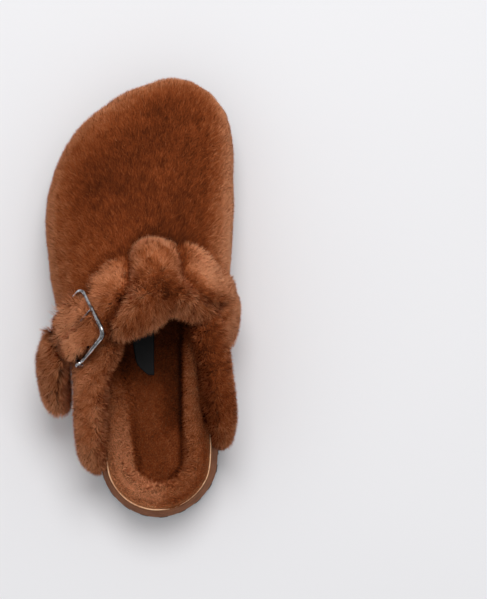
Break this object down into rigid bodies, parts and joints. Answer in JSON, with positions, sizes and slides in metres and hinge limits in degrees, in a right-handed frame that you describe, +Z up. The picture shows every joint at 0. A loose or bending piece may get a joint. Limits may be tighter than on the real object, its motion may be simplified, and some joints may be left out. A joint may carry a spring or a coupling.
{
  "type": "shearling clog slipper",
  "caption": "Plush backless house clog for the left foot: a footbed in a cork sole, a shearling upper, and a strap with a buckle across the instep.",
  "frame": {"origin": "on the flat strip under the arch, at the level of the ground", "axes": "+Z up, +Y towards the heel, so the toe points to -Y; +X towards the outer side of the foot, where the buckle is"},
  "size_m": [0.1229, 0.2659, 0.0871],
  "materials": {
    "pile": "long brown shearling pile",
    "lining": "short brown shearling pile",
    "suede": "suede",
    "skin_edge": "raw cut edge",
    "rubber_sole": "matte, grooved",
    "cork": "pressed cork granules",
    "jute": "coarse plain weave",
    "strap_leather": "smooth brown",
    "polished_metal": "polished",
    "label": "black satin weave, blank"
  },
  "bodies": {
    "slipper": {"outsole": "rubber_sole", "lower_jute_layer": "jute", "cork_footbed": "cork", "upper_jute_layer": "jute", "footbed_liner": "lining", "sole_side_wrap": "suede", "liner_skin_edge": "skin_edge", "woven_label": "label", "vamp_shell": "pile", "vamp_lining": "lining", "lateral_quarter_shell": "pile", "lateral_quarter_lining": "lining", "medial_quarter_shell": "pile", "medial_quarter_lining": "lining", "throat_collar": "pile", "instep_strap": "pile", "instep_strap_backing": "strap_leather", "buckle_tab": "strap_leather"},
    "buckle": {"buckle_frame": "polished_metal", "buckle_crossbar": "polished_metal"},
    "prong": {"buckle_prong": "polished_metal"},
    "tail": {"strap_tail": "pile"}
  },
  "joints": [
    {"name": "buckle_hinge", "type": "hinge", "parent": "slipper", "child": "buckle", "pos_m": [0.0408, 0.0266, 0.06], "axis": [-0.4245, 0.8345, 0.3513], "range_deg": [0, 25]},
    {"name": "prong_hinge", "type": "hinge", "parent": "buckle", "child": "prong", "pos_m": [0.0408, 0.0266, 0.06], "axis": [-0.4245, 0.8345, 0.3513], "range_deg": [0, 35]},
    {"name": "strap_tail_bend", "type": "hinge", "parent": "slipper", "child": "tail", "pos_m": [0.0482, 0.02811, 0.06535], "axis": [0.4245, -0.8345, -0.3513], "range_deg": [0, 35]}
  ]
}
